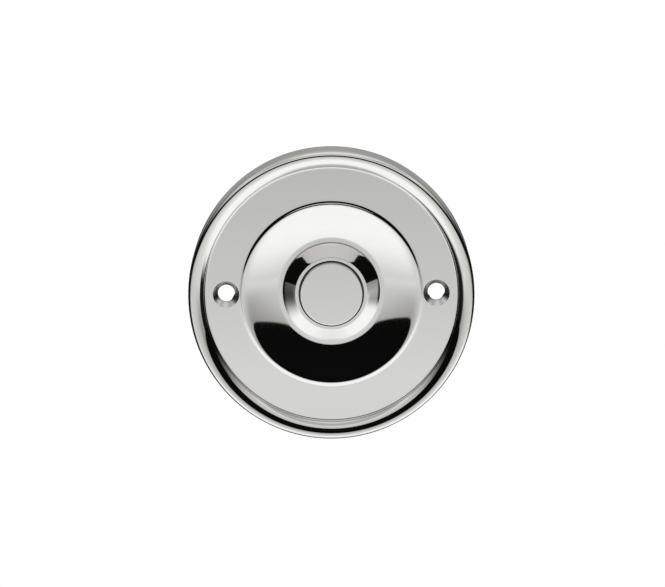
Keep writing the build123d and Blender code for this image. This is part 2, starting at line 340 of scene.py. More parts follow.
def rose_front():
    """The polished side, from the skirt's foot over the bead to the edge of the button's bore."""
    barrel = math.radians(BARREL_DEG)
    shoulder_radius = ROSE_RADIUS - BARREL_LENGTH * math.tan(barrel / 2)
    bead_round = (shoulder_radius - BEAD_CREST) / math.cos(barrel)
    skirt_foot = (ROSE_RADIUS, FOOT_CHAMFER)
    crest = (BEAD_CREST, BEAD_HEIGHT)
    shoulder = (shoulder_radius, BEAD_HEIGHT - bead_round * (1 - math.sin(barrel)))
    side = (ROSE_RADIUS, shoulder[1] - BARREL_LENGTH)
    quirk_top = (ROSE_RADIUS - BEAD_WIDTH, FLAT_HEIGHT + QUIRK)
    quirk_foot = (ROSE_RADIUS - BEAD_WIDTH, FLAT_HEIGHT)
    arris_foot = (ARRIS_FOOT, FLAT_HEIGHT)
    arris_side = arc_end(arris_foot, 180, -ARRIS_SLOPE_DEG, ARRIS_FOOT_CURVE)
    arris = arc_end(arris_side, 180 - ARRIS_SLOPE_DEG, ARRIS_SLOPE_DEG, ARRIS_TOP_CURVE)
    lip_top = arc_end(arris, 180, LIP_START_DEG, LIP_CURVE)
    lip_fall = math.tan(math.radians(LIP_START_DEG + LIP_SLOPE_DEG) / 2)
    lip = (LIP_RADIUS, lip_top[1] - (lip_top[0] - LIP_RADIUS) * lip_fall)
    dish_foot = (VALLEY_OUTER, lip[1] - DISH_DROP)
    boss_foot = (VALLEY_INNER, dish_foot[1])
    boss_edge = (VALLEY_INNER, BOSS_EDGE_HEIGHT)
    land_edge = (LAND_OUTER, LAND_HEIGHT)
    bead_turn = turn_of_tangent(crest[0] - quirk_top[0], crest[1] - quirk_top[1])
    dish_fall = math.degrees(math.atan2(DISH_DROP, LIP_RADIUS - VALLEY_OUTER))
    return eased(
        straight((ROSE_RADIUS - FOOT_CHAMFER, 0), skirt_foot),
        (FOOT_EASE, straight(skirt_foot, side)),
        (0, bowed(side, shoulder, BARREL_DEG)),
        (0, bowed(shoulder, crest, 90 - BARREL_DEG)),
        (0, bowed(crest, quirk_top, bead_turn)),
        (BEAD_EASE, straight(quirk_top, quirk_foot)),
        (QUIRK_EASE, straight(quirk_foot, arris_foot)),
        (0, bowed(arris_foot, arris_side, -ARRIS_SLOPE_DEG)),
        (0, bowed(arris_side, arris, ARRIS_SLOPE_DEG)),
        (0, bowed(arris, lip_top, LIP_START_DEG)),
        (0, bowed(lip_top, lip, LIP_SLOPE_DEG - LIP_START_DEG)),
        (0, bowed(lip, dish_foot, -2 * (LIP_SLOPE_DEG - dish_fall))),
        (DISH_EASE, straight(dish_foot, boss_foot)),
        (BOSS_FOOT_EASE, straight(boss_foot, boss_edge)),
        (BOSS_EDGE_EASE, straight(boss_edge, land_edge)),
        (LAND_EASE, straight(land_edge, (BORE_RADIUS, LAND_HEIGHT))),
    )


print("points across the rose's face:", len(rose_front()))

# %% [markdown]
# ## The back of the rose
#
# Behind, the rose is hollow, which saves brass and leaves room for wires. The button's bore widens
# to a counterbore, a flat seat takes the cup, and dish and skirt are thin walls. Nobody polishes
# this side, so it is an outline of its own, which will take the dull finish.

# %% Rose back
BORE_END = 4.2
BORE_EASE = 0.1
COUNTERBORE = 10.2
COUNTERBORE_EASE = 0.2
SEAT_HEIGHT = 2.4
SEAT_OUTER = 16.0
DISH_BACK_RADIUS = 24.8
DISH_BACK_CURVE = 42.0
FLAT_BACK = 4.0
HOLLOW_START = 33.2
HOLLOW_TOP = 5.6
HOLLOW_EASE = 1.0
SKIRT_INSIDE = 35.6


def rose_back():
    """The unpolished side, down the bore and through the hollow back to the skirt's foot."""
    bore_end = (BORE_RADIUS, BORE_END)
    counterbore_top = (COUNTERBORE, BORE_END)
    counterbore_foot = (COUNTERBORE, SEAT_HEIGHT)
    seat = (SEAT_OUTER, SEAT_HEIGHT)
    dish_back = (DISH_BACK_RADIUS, FLAT_BACK)
    hollow = (HOLLOW_START, FLAT_BACK)
    skirt_top = (SKIRT_INSIDE, HOLLOW_TOP)
    skirt_foot = (SKIRT_INSIDE, FOOT_CHAMFER)
    rim = (SKIRT_INSIDE + FOOT_CHAMFER, 0)
    return eased(
        straight((BORE_RADIUS, LAND_HEIGHT), bore_end),
        (BORE_EASE, straight(bore_end, counterbore_top)),
        (0, straight(counterbore_top, counterbore_foot)),
        (COUNTERBORE_EASE, straight(counterbore_foot, seat)),
        (HOLLOW_EASE, bowed(seat, dish_back, turn_of_radius(seat, dish_back, DISH_BACK_CURVE))),
        (HOLLOW_EASE, straight(dish_back, hollow)),
        (HOLLOW_EASE, straight(hollow, skirt_top)),
        (HOLLOW_EASE, straight(skirt_top, skirt_foot)),
        (FOOT_EASE, straight(skirt_foot, rim)),
        (FOOT_EASE, straight(rim, (ROSE_RADIUS - FOOT_CHAMFER, 0))),
    )


print("points across the rose's back:", len(rose_back()))

# %% [markdown]
# ## A lathe of nodes
#
# Spinning a mesh by hand would do, but a small Geometry Nodes tree keeps the lathe as a rule. It
# lays out a grid with one column for each point of the outline and one row for each step round
# the axis, and moves each point of the grid to its radius, height and angle. Merging closes the
# seam and the pole. The outline carries a mark for its polished stretch, which picks the finish.

# %% Lathe tree
MERGE_MM = 0.001


def new_tree(name, inputs):
    """An empty Geometry Nodes tree with named inputs, and the sockets that give them."""
    tree = bpy.data.node_groups.new(name, "GeometryNodeTree")
    for label, kind in inputs.items():
        tree.interface.new_socket(label, in_out="INPUT", socket_type="NodeSocket" + kind)
    tree.interface.new_socket("Geometry", in_out="OUTPUT", socket_type="NodeSocketGeometry")
    return tree, add(tree, "NodeGroupInput").outputs


def lathe_tree():
    """Turns an outline about the Y axis into a closed mesh, its faces marked where they are polished."""
    tree, given = new_tree("lathe", {"Outline": "Geometry", "Segments": "Int"})
    outline = given["Outline"]
    points = add(tree, "GeometryNodeAttributeDomainSize", {"Geometry": outline}).outputs["Point Count"]
    rows = add(tree, "ShaderNodeMath", {0: given["Segments"], 1: 1.0}, operation="ADD").outputs[0]
    grid = add(tree, "GeometryNodeMeshGrid", {"Vertices X": rows, "Vertices Y": points}).outputs["Mesh"]
    index = add(tree, "GeometryNodeInputIndex").outputs[0]
    column = add(tree, "ShaderNodeMath", {0: index, 1: points}, operation="MODULO").outputs[0]
    passed = add(tree, "ShaderNodeMath", {0: index, 1: points}, operation="DIVIDE").outputs[0]
    row = add(tree, "ShaderNodeMath", {0: passed}, operation="FLOOR").outputs[0]
    share = add(tree, "ShaderNodeMath", {0: row, 1: given["Segments"]}, operation="DIVIDE").outputs[0]
    angle = add(tree, "ShaderNodeMath", {0: share, 1: math.tau}, operation="MULTIPLY").outputs[0]
    place = add(tree, "GeometryNodeInputPosition").outputs[0]
    sampled = add(tree, "GeometryNodeSampleIndex", {"Geometry": outline, "Index": column},
                  data_type="FLOAT_VECTOR")
    tree.links.new(place, sampled.inputs["Value"])
    parts = add(tree, "ShaderNodeSeparateXYZ", {0: sampled.outputs["Value"]}).outputs
    across = add(tree, "ShaderNodeMath", {0: angle}, operation="COSINE").outputs[0]
    upward = add(tree, "ShaderNodeMath", {0: angle}, operation="SINE").outputs[0]
    x = add(tree, "ShaderNodeMath", {0: parts["X"], 1: across}, operation="MULTIPLY").outputs[0]
    y = add(tree, "ShaderNodeMath", {0: parts["Y"], 1: -1.0}, operation="MULTIPLY").outputs[0]
    z = add(tree, "ShaderNodeMath", {0: parts["X"], 1: upward}, operation="MULTIPLY").outputs[0]
    turned = add(tree, "ShaderNodeCombineXYZ", {"X": x, "Y": y, "Z": z}).outputs[0]
    placed = add(tree, "GeometryNodeSetPosition", {"Geometry": grid, "Position": turned}).outputs[0]
    mark = add(tree, "GeometryNodeInputNamedAttribute", {"Name": "polished"}, data_type="FLOAT").outputs[0]
    marked = add(tree, "GeometryNodeSampleIndex", {"Geometry": outline, "Index": column}, data_type="FLOAT")
    tree.links.new(mark, marked.inputs["Value"])
    kept = add(tree, "GeometryNodeFieldOnDomain", {0: marked.outputs["Value"]},
               data_type="FLOAT", domain="POINT").outputs[0]
    polished = add(tree, "FunctionNodeCompare", {0: kept, 1: 0.5},
                   data_type="FLOAT", operation="GREATER_THAN").outputs[0]
    stored = add(tree, "GeometryNodeStoreNamedAttribute", {
        "Geometry": placed, "Name": "polished", "Value": polished,
    }, data_type="BOOLEAN", domain="FACE").outputs[0]
    closed = add(tree, "GeometryNodeMergeByDistance", {"Geometry": stored, "Distance": MERGE_MM * MM})
    add(tree, "NodeGroupOutput", {"Geometry": closed.outputs[0]})
    return tree


LATHE = lathe_tree()
print("lathe nodes:", len(LATHE.nodes))

# %% [markdown]
# ## The end of every tree
#
# A turned shape is smooth along its curves and crisp at its real edges. So the trees of finished
# pieces end the same way: edges that bend by more than a set angle are marked sharp and the rest
# are smooth, every face takes the plain finish, and the faces that carry a mark, polished or
# drilled, take that mark's own.

# %% Finishing a tree
CRISP_DEG = 32.0


def finish_tree(tree, mesh, plain, **marked):
    """Crisp edges, one finish, another for each mark that some faces carry, and the tree's output."""
    bend = add(tree, "GeometryNodeInputMeshEdgeAngle").outputs["Unsigned Angle"]
    sharp = add(tree, "FunctionNodeCompare", {0: bend, 1: math.radians(CRISP_DEG)},
                data_type="FLOAT", operation="GREATER_THAN").outputs[0]
    smooth = add(tree, "GeometryNodeSetShadeSmooth", {0: mesh, "Shade Smooth": True},
                 domain="FACE").outputs[0]
    edged = add(tree, "GeometryNodeSetShadeSmooth", {0: smooth, "Selection": sharp, "Shade Smooth": False},
                domain="EDGE").outputs[0]
    finished = add(tree, "GeometryNodeSetMaterial", {"Geometry": edged, "Material": plain}).outputs[0]
    for mark, finish in marked.items():
        faces = add(tree, "GeometryNodeInputNamedAttribute", {"Name": mark}, data_type="BOOLEAN").outputs[0]
        finished = add(tree, "GeometryNodeSetMaterial", {
            "Geometry": finished, "Selection": faces, "Material": finish,
        }).outputs[0]
    add(tree, "NodeGroupOutput", {"Geometry": finished})


print("edges sharper than", CRISP_DEG, "degrees stay crisp")

# %% [markdown]
# ## From outline to piece
#
# So an outline becomes a mesh of bare points, the tree works on it as a modifier, and the result
# is copied out as a mesh that stands alone. Each piece is then measured: a closed shape has no
# open edges.

# %% Building and measuring
def outline_mesh(name, stretches):
    """A mesh of bare points, in metres, from stretches that are each polished or not."""
    points = [(point, polished) for stretch, polished in stretches for point in stretch]
    mesh = bpy.data.meshes.new(name)
    mesh.from_pydata([(point.x * MM, point.y * MM, 0) for point, polished in points], [], [])
    mark = mesh.attributes.new("polished", "FLOAT", "POINT")
    for number, (point, polished) in enumerate(points):
        mark.data[number].value = float(polished)
    return bpy.data.objects.new(name, mesh)


def built(source, name, tree, inputs):
    """The plain mesh that a tree makes from a source object, as a new object at the origin."""
    bpy.context.collection.objects.link(source)
    modifier = source.modifiers.new("tree", "NODES")
    modifier.node_group = tree
    sockets = {item.name: item.identifier for item in tree.interface.items_tree if item.in_out == "INPUT"}
    for label, value in inputs.items():
        modifier[sockets[label]] = value
    graph = bpy.context.evaluated_depsgraph_get()
    mesh = bpy.data.meshes.new_from_object(source.evaluated_get(graph), depsgraph=graph)
    bpy.data.objects.remove(source)
    mesh.name = name
    for number in reversed(range(len(mesh.materials))):
        if mesh.materials[number] is None:
            mesh.materials.pop(index=number)
    piece = bpy.data.objects.new(name, mesh)
    bpy.context.collection.objects.link(piece)
    return piece


def measured(piece):
    """A line about a finished mesh: its triangles, its volume and whether it is closed."""
    shape = bmesh.new()
    shape.from_mesh(piece.data)
    open_edges = sum(1 for edge in shape.edges if not edge.is_manifold)
    triangles = sum(len(face.verts) - 2 for face in shape.faces)
    volume = shape.calc_volume(signed=True) / MM ** 3
    shape.free()
    return f"{piece.name}: {triangles} triangles, {volume:.1f} mm3, {open_edges} open edges"


rose_outline = outline_mesh("rose_outline", [(rose_front(), True), (rose_back(), False)])
print("points in the rose's outline:", len(rose_outline.data.vertices))

# %% [markdown]
# ## Bars and pairs
#
# Pillars, holes and countersinks are all round bars, some of them tapered, and nearly everything
# on a push comes in pairs, left and right or above and below. Each job is a small tree of its own,
# which the larger trees use as a single node.

# %% Bar and pair trees
BAR_SIZES = ("Low Radius", "High Radius", "Low", "High")


def bar_tree():
    """A round bar about the Y axis between two heights, tapered where its two radii differ."""
    tree, given = new_tree("bar", {"Sides": "Int", **{size: "Float" for size in BAR_SIZES}})
    length = add(tree, "ShaderNodeMath", {0: given["High"], 1: given["Low"]}, operation="SUBTRACT").outputs[0]
    cone = add(tree, "GeometryNodeMeshCone", {
        "Vertices": given["Sides"],
        "Radius Bottom": given["Low Radius"],
        "Radius Top": given["High Radius"],
        "Depth": length,
    }).outputs["Mesh"]
    y = add(tree, "ShaderNodeMath", {0: given["Low"], 1: -1.0}, operation="MULTIPLY").outputs[0]
    foot = add(tree, "ShaderNodeCombineXYZ", {"Y": y}).outputs[0]
    placed = add(tree, "GeometryNodeTransform", {
        "Geometry": cone, "Translation": foot, "Rotation": (math.pi / 2, 0, 0),
    }).outputs[0]
    add(tree, "NodeGroupOutput", {"Geometry": placed})
    return tree


def pair_tree():
    """Two real copies of a shape, either side of the axis, each with its own turn."""
    tree, given = new_tree("pair", {
        "Shape": "Geometry", "Place": "Vector", "First Turn": "Float", "Second Turn": "Float",
    })
    opposite = add(tree, "ShaderNodeVectorMath", {0: given["Place"], "Scale": -1.0},
                   operation="SCALE").outputs[0]
    places = add(tree, "GeometryNodeMeshLine", {
        "Count": 2, "Start Location": opposite, "Offset": given["Place"],
    }, mode="END_POINTS").outputs[0]
    number = add(tree, "GeometryNodeInputIndex").outputs[0]
    turn = add(tree, "ShaderNodeMapRange", {
        "Value": number, "To Min": given["First Turn"], "To Max": given["Second Turn"],
    }).outputs["Result"]
    angles = add(tree, "ShaderNodeCombineXYZ", {"Y": turn}).outputs[0]
    turns = add(tree, "FunctionNodeEulerToRotation", {0: angles}).outputs[0]
    copies = add(tree, "GeometryNodeInstanceOnPoints", {
        "Points": places, "Instance": given["Shape"], "Rotation": turns,
    }).outputs[0]
    real = add(tree, "GeometryNodeRealizeInstances", {"Geometry": copies}).outputs[0]
    add(tree, "NodeGroupOutput", {"Geometry": real})
    return tree


BAR = bar_tree()
PAIR = pair_tree()
print("nodes in the bar tree:", len(BAR.nodes), "and in the pair tree:", len(PAIR.nodes))

# %% [markdown]
# ## The tree of the rose
#
# The rose is one casting, turned on its face, drilled and countersunk for two wall screws, with
# two tapped pillars behind for the cup. The tree works in that order too: it turns the outline,
# joins the pillars on, and cuts the holes away with a boolean, as a drill would. A mark on the
# drills stays on the faces that they cut, so the countersinks can have their own finish.

# %% Rose tree
BAR_ROWS = {"Pillar": "Pillar", "Tap": "Pillar", "Sink": "Hole", "Hole": "Hole"}


def rose_tree():
    """The turned rose with its pillars joined on and its holes drilled."""
    tree, given = new_tree("rose", {
        "Outline": "Geometry", "Segments": "Int",
        "Pillar Place": "Vector", "Pillar Sides": "Int", "Hole Place": "Vector", "Hole Sides": "Int",
        **{f"{bar} {size}": "Float" for bar in BAR_ROWS for size in BAR_SIZES},
        "Polished": "Material", "Drilled": "Material", "Unpolished": "Material",
    })
    turned = add(tree, "GeometryNodeGroup", {
        "Outline": given["Outline"], "Segments": given["Segments"],
    }, node_tree=LATHE).outputs[0]
    pairs = {}
    for bar, row in BAR_ROWS.items():
        shape = add(tree, "GeometryNodeGroup", {
            "Sides": given[f"{row} Sides"], **{size: given[f"{bar} {size}"] for size in BAR_SIZES},
        }, node_tree=BAR).outputs[0]
        pairs[bar] = add(tree, "GeometryNodeGroup", {
            "Shape": shape, "Place": given[f"{row} Place"],
        }, node_tree=PAIR).outputs[0]
    joined = add(tree, "GeometryNodeMeshBoolean", {"Mesh 2": [turned, pairs["Pillar"]]},
                 operation="UNION", solver="MANIFOLD").outputs["Mesh"]
    drills = [
        add(tree, "GeometryNodeStoreNamedAttribute", {
            "Geometry": pairs[bar], "Name": "drilled", "Value": True,
        }, data_type="BOOLEAN", domain="FACE").outputs[0]
        for bar in ("Sink", "Hole")
    ]
    drilled = add(tree, "GeometryNodeMeshBoolean", {"Mesh 1": joined, "Mesh 2": [pairs["Tap"], *drills]},
                  operation="DIFFERENCE", solver="MANIFOLD").outputs["Mesh"]
    finish_tree(tree, drilled, given["Unpolished"], polished=given["Polished"], drilled=given["Drilled"])
    return tree


ROSE = rose_tree()
print("nodes in the rose's tree:", len(ROSE.nodes))

# %% [markdown]
# ## The rose
#
# With the tree made, the rose needs only its sizes. Each bar gets its two radii and two heights,
# and runs on past the metal it works, because a drill that stops level with a face leaves a skin.

# %% Rose
TURN_STEPS = 288
DRILL_OVERRUN = 0.5
HOLE_PLACE = (28.0 * MM, 0, 0)
HOLE_SIDES = 96
HOLE_RADIUS = 2.3
SINK_RADIUS = 3.5
SINK_FOOT = FLAT_HEIGHT - (SINK_RADIUS - HOLE_RADIUS)
PILLAR_PLACE = (0, 0, 12.4 * MM)
PILLAR_SIDES = 48
PILLAR_RADIUS = 2.2
PILLAR_END = -1.95
TAP_RADIUS = 1.25
TAP_END = 2.55
bars = {
    "Pillar": (PILLAR_RADIUS, PILLAR_RADIUS, PILLAR_END, SEAT_HEIGHT + DRILL_OVERRUN),
    "Tap": (TAP_RADIUS, TAP_RADIUS, PILLAR_END - DRILL_OVERRUN, TAP_END),
    "Sink": (HOLE_RADIUS, SINK_RADIUS + DRILL_OVERRUN, SINK_FOOT, FLAT_HEIGHT + DRILL_OVERRUN),
    "Hole": (HOLE_RADIUS, HOLE_RADIUS, FLAT_BACK - DRILL_OVERRUN, SINK_FOOT + DRILL_OVERRUN),
}
bar_inputs = {
    f"{bar} {size}": length * MM for bar, lengths in bars.items() for size, length in zip(BAR_SIZES, lengths)
}
rose = built(rose_outline, "chromed_rose", ROSE, {
    "Segments": TURN_STEPS,
    "Pillar Place": PILLAR_PLACE, "Pillar Sides": PILLAR_SIDES,
    "Hole Place": HOLE_PLACE, "Hole Sides": HOLE_SIDES,
    **bar_inputs,
    "Polished": CHROME, "Drilled": CUT_CHROME, "Unpolished": DULL,
})
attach(rose, "rose")
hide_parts("rose_plate")
print(measured(rose))

# %% [markdown]
# ## The button
#
# The button is turned from bar: a flat face with a softly broken edge, a flange that keeps it
# from falling out of the front, and a domed nose behind that pushes on the leaf spring. It needs
# no drilling, so its tree is the lathe and a finish.

# %% Button
BUTTON_RADIUS = 8.3
BUTTON_HEIGHT = 6.75
BUTTON_EDGE = 0.2
FLANGE_RADIUS = 9.4
FLANGE_TOP = 4.15
FLANGE_BOTTOM = 3.15
FLANGE_EASE = 0.1
NOSE_RADIUS = 2.4
NOSE_SIDE = 1.95
NOSE_END = 1.55
NOSE_EASE = 0.1
NOSE_ROOT_EASE = 0.2


def button_back():
    """The unpolished part of the button, from the tip of its nose over the flange and up its side."""
    nose_side = (NOSE_RADIUS, NOSE_SIDE)
    nose_root = (NOSE_RADIUS, FLANGE_BOTTOM)
    flange_back = (FLANGE_RADIUS, FLANGE_BOTTOM)
    flange_front = (FLANGE_RADIUS, FLANGE_TOP)
    stem_foot = (BUTTON_RADIUS, FLANGE_TOP)
    return eased(
        bowed((0, NOSE_END), nose_side, turn_of_tangent(NOSE_RADIUS, NOSE_SIDE - NOSE_END)),
        (NOSE_EASE, straight(nose_side, nose_root)),
        (NOSE_ROOT_EASE, straight(nose_root, flange_back)),
        (FLANGE_EASE, straight(flange_back, flange_front)),
        (FLANGE_EASE, straight(flange_front, stem_foot)),
        (0, straight(stem_foot, (BUTTON_RADIUS, BUTTON_HEIGHT - BUTTON_EDGE))),
    )


def button_face():
    """The polished part of the button, from its edge to the middle of its face."""
    edge = (BUTTON_RADIUS, BUTTON_HEIGHT - BUTTON_EDGE)
    rim = (BUTTON_RADIUS - BUTTON_EDGE, BUTTON_HEIGHT)
    return [*bowed(edge, rim, 90), *straight(rim, (0, BUTTON_HEIGHT))[1:]]


def turned_tree():
    """A plain turned piece."""
    tree, given = new_tree("turned", {
        "Outline": "Geometry", "Segments": "Int", "Polished": "Material", "Unpolished": "Material",
    })
    turned = add(tree, "GeometryNodeGroup", {
        "Outline": given["Outline"], "Segments": given["Segments"],
    }, node_tree=LATHE).outputs[0]
    finish_tree(tree, turned, given["Unpolished"], polished=given["Polished"])
    return tree


button_outline = outline_mesh("button_outline", [(button_back(), False), (button_face(), True)])
button = built(button_outline, "chromed_button", turned_tree(), {
    "Segments": TURN_STEPS // 2, "Polished": CHROME, "Unpolished": DULL,
})
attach(button, "button")
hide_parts("push_button")
print(measured(button))

# %% [markdown]
# ## Metals of the switch
#
# Nothing behind the rose is polished. Brass parts are turned and stamped, the leaf is rolled
# bronze, the cup's screws are zinc plated, and the contact tips are silver. They differ in tone,
# grain and gloss, which is just what the function above takes.

# %% Switch metals
# Turned or stamped brass that has dulled a little: warm yellow, in soft patches
BRASS = worked_surface("dulled_brass", "#a8823c", "#d2ab5e", grain_mm=0.9, rough=(0.22, 0.38))
# Rolled bronze strip: redder than brass, with fine streaks along its length
BRONZE = worked_surface("rolled_bronze", "#a9703f", "#cf9762", grain_mm=0.35, rough=(0.25, 0.4),
                        drawn=(0.08, 1, 1))
# Silver headed cold: the palest metal here, with a soft shine
SILVER = worked_surface("headed_silver", "#bdbab2", "#dedcd5", grain_mm=0.5, rough=(0.15, 0.28))
# Zinc plate on steel: blue-grey and faintly cloudy
ZINC = worked_surface("zinc_plate", "#8f9497", "#b9bdc0", grain_mm=0.7, rough=(0.25, 0.4))
print("metals:", [metal.name for metal in (BRASS, BRONZE, SILVER, ZINC)])

# %% [markdown]
# ## Moulded phenolic
#
# The cup is pressed from brown-black phenolic. The mould leaves it slightly glossy, and the
# wood-flour filler mottles the gloss in patches of a millimetre or two. The cup and the plain
# metal pieces are good enough as packed, so they keep their meshes and only take a finish.

# %% Phenolic
# Pressed phenolic with its filler: nearly black, with a soft gloss in patches
PHENOLIC = worked_surface("moulded_phenolic", "#121110", "#262321", grain_mm=1.6, rough=(0.28, 0.45),
                          metal=0.0, detail=5.0)
finishes = {
    "switch_cup": PHENOLIC,
    "fixed_contact": BRASS,
    "leaf_post": BRASS,
    "fixed_post": BRASS,
    "moving_contact_tip": SILVER,
    "fixed_contact_tip": SILVER,
}
for name, finish in finishes.items():
    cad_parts[name].data.materials.clear()
    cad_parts[name].data.materials.append(finish)
print("pieces kept as packed:", sorted(finishes))

# %% [markdown]
# ## Trees for screws and washers
#
# Four slotted screws hold the switch together, in two sizes. One tree serves both: it turns a
# screw from its outline, mills the slot, and sets two copies down either side of the axis, each
# left at the angle where it came tight. The washers need no slot, so their tree is shorter.

# %% Fastener trees
def screw_tree():
    """A pair of slotted screws, each with its own turn."""
    tree, given = new_tree("slotted_screws", {
        "Outline": "Geometry", "Segments": "Int", "Slot Size": "Vector", "Slot Middle": "Vector",
        "Place": "Vector", "First Turn": "Float", "Second Turn": "Float", "Metal": "Material",
    })
    blank = add(tree, "GeometryNodeGroup", {
        "Outline": given["Outline"], "Segments": given["Segments"],
    }, node_tree=LATHE).outputs[0]
    saw = add(tree, "GeometryNodeMeshCube", {"Size": given["Slot Size"]}).outputs["Mesh"]
    lowered = add(tree, "GeometryNodeTransform", {
        "Geometry": saw, "Translation": given["Slot Middle"],
    }).outputs[0]
    slotted = add(tree, "GeometryNodeMeshBoolean", {"Mesh 1": blank, "Mesh 2": lowered},
                  operation="DIFFERENCE", solver="MANIFOLD").outputs["Mesh"]
    both = add(tree, "GeometryNodeGroup", {
        "Shape": slotted,
        **{label: given[label] for label in ("Place", "First Turn", "Second Turn")},
    }, node_tree=PAIR).outputs[0]
    finish_tree(tree, both, given["Metal"])
    return tree


def washer_tree():
    """A pair of plain washers."""
    tree, given = new_tree("plain_washers", {
        "Outline": "Geometry", "Segments": "Int", "Place": "Vector", "Metal": "Material",
    })
    ring = add(tree, "GeometryNodeGroup", {
        "Outline": given["Outline"], "Segments": given["Segments"],
    }, node_tree=LATHE).outputs[0]
    both = add(tree, "GeometryNodeGroup", {"Shape": ring, "Place": given["Place"]}, node_tree=PAIR).outputs[0]
    finish_tree(tree, both, given["Metal"])
    return tree


SCREWS = screw_tree()
WASHERS = washer_tree()
print("nodes in the screw tree:", len(SCREWS.nodes), "and in the washer tree:", len(WASHERS.nodes))

# %% [markdown]
# ## Setting the screws
#
# Terminal screws are brass, because they carry the current, and sit left and right. Cup screws
# are zinc-plated steel and sit above and below, in the rose's pillars. Heads face away from the
# rose, so heights there are negative.

# %% Screws
FASTENER_STEPS = 72
CUP_BACK = -4.35
HEAD_ROUND = 0.25
HEAD_BREAK = 0.05
SHANK_TIP = 0.3
SLOT_WIDTH = 0.7
SLOT_DEPTH = 0.7
TERMINAL_WASHER = 0.6
CUP_WASHER = 0.5
TERMINAL_PLACE = (11.6 * MM, 0, 0)


def screw_outline(shank, tip, head, seat, end):
    """Half the section of a screw, from the middle of its head round to the tip of its shank."""
    return eased(
        straight((0, end), (head, end)),
        (HEAD_ROUND, straight((head, end), (head, seat))),
        (HEAD_BREAK, straight((head, seat), (shank, seat))),
        (0, straight((shank, seat), (shank, tip - SHANK_TIP))),
        (0, straight((shank, tip - SHANK_TIP), (shank - SHANK_TIP, tip))),
        (0, straight((shank - SHANK_TIP, tip), (0, tip))),
    )


def stand_in(piece, node):
    """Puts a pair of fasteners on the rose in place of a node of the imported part."""
    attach(piece, "rose")
    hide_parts(node)
    print(measured(piece))


def set_screws(name, node, metal, place, turns_deg, shank, tip, head, head_thickness, washer):
    """One pair of screws. The saw for the slot is longer than the head and stands half out of it."""
    seat = CUP_BACK - washer
    end = seat - head_thickness
    outline = outline_mesh(name + "_outline", [(screw_outline(shank, tip, head, seat, end), False)])
    piece = built(outline, name, SCREWS, {
        "Segments": FASTENER_STEPS,
        "Slot Size": (3 * head * MM, 2 * SLOT_DEPTH * MM, SLOT_WIDTH * MM),
        "Slot Middle": (0, -end * MM, 0),
        "Place": place,
        "First Turn": -math.radians(turns_deg[0]),
        "Second Turn": -math.radians(turns_deg[1]),
        "Metal": metal,
    })
    stand_in(piece, node)


set_screws("brass_terminal_screws", "terminal_screws", BRASS, TERMINAL_PLACE,
           turns_deg=(35, -20), shank=1.47, tip=0.2, head=2.75, head_thickness=1.7, washer=TERMINAL_WASHER)
set_screws("zinc_cup_screws", "cup_screws", ZINC, PILLAR_PLACE,
           turns_deg=(75, 10), shank=1.22, tip=2.15, head=2.25, head_thickness=1.5, washer=CUP_WASHER)

# %% [markdown]
# ## Setting the washers
#
# A washer lies under each head, of the same metal as its screw. Tumbling after the press rounds
# its outer edges a little and leaves the hole sharp, so only the outer corners are eased.

# %% Washers
WASHER_BREAK = 0.08


def washer_outline(outer, hole, thickness):
    """The section of a washer, all the way round."""
    top = CUP_BACK - thickness
    corners = [(hole, top), (outer, top), (outer, CUP_BACK), (hole, CUP_BACK)]
    sides = [straight(start, end) for start, end in zip(corners, corners[1:] + corners[:1])]
    return eased(sides[0], (WASHER_BREAK, sides[1]), (WASHER_BREAK, sides[2]), (0, sides[3]))


def set_washers(name, node, metal, place, outer, hole, thickness):
    """One pair of washers."""
    outline = outline_mesh(name + "_outline", [(washer_outline(outer, hole, thickness), False)])
    piece = built(outline, name, WASHERS, {"Segments": FASTENER_STEPS, "Place": place, "Metal": metal})
    stand_in(piece, node)


set_washers("brass_terminal_washers", "terminal_washers", BRASS, TERMINAL_PLACE,
            outer=3.4, hole=1.65, thickness=TERMINAL_WASHER)
set_washers("zinc_cup_washers", "cup_washers", ZINC, PILLAR_PLACE,
            outer=2.9, hole=1.4, thickness=CUP_WASHER)

# %% [markdown]
# ## The leaf spring
#
# The leaf is riveted at one end and bends as the button comes down. The imported strip has points
# only along its outline, so this copy is cut across into short lengths between its post and its
# tip.

# %% Leaf
LEAF_CUTS = 24
LEAF_POST_X = -11.6
LEAF_TIP_EDGE = -1.6


def bending_leaf():
    """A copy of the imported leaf, cut across into short lengths."""
    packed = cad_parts["leaf_spring"]
    strip = bmesh.new()
    strip.from_mesh(packed.data)
    strip.transform(packed.matrix_world)
    bmesh.ops.remove_doubles(strip, verts=strip.verts, dist=MERGE_MM * MM)
    for cut in range(1, LEAF_CUTS):
        x = (LEAF_POST_X + (LEAF_TIP_EDGE - LEAF_POST_X) * cut / LEAF_CUTS) * MM
        everything = [*strip.verts, *strip.edges, *strip.faces]
        bmesh.ops.bisect_plane(strip, geom=everything, plane_co=(x, 0, 0), plane_no=(1, 0, 0))
    mesh = bpy.data.meshes.new("bronze_leaf")
    strip.to_mesh(mesh)
    strip.free()
    mesh.materials.append(BRONZE)
    mesh.set_sharp_from_angle(angle=math.radians(CRISP_DEG))
    piece = bpy.data.objects.new("bronze_leaf", mesh)
    bpy.context.collection.objects.link(piece)
    return piece


leaf = bending_leaf()
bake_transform(leaf)
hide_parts("leaf_spring")
print(measured(leaf))

# %% [markdown]
# ## What the chrome sees
#
# Polished chrome has almost no look of its own: it shows the room. In the photograph that room is
# a light tent, with a bright table below and pale cloth above. Cards and lamps could stand in for
# it, but each would need its own place. A sphere that glows by direction alone is easier to match.
# Its colour is a ramp over the height in degrees, neutral for the table and faintly tinted above.

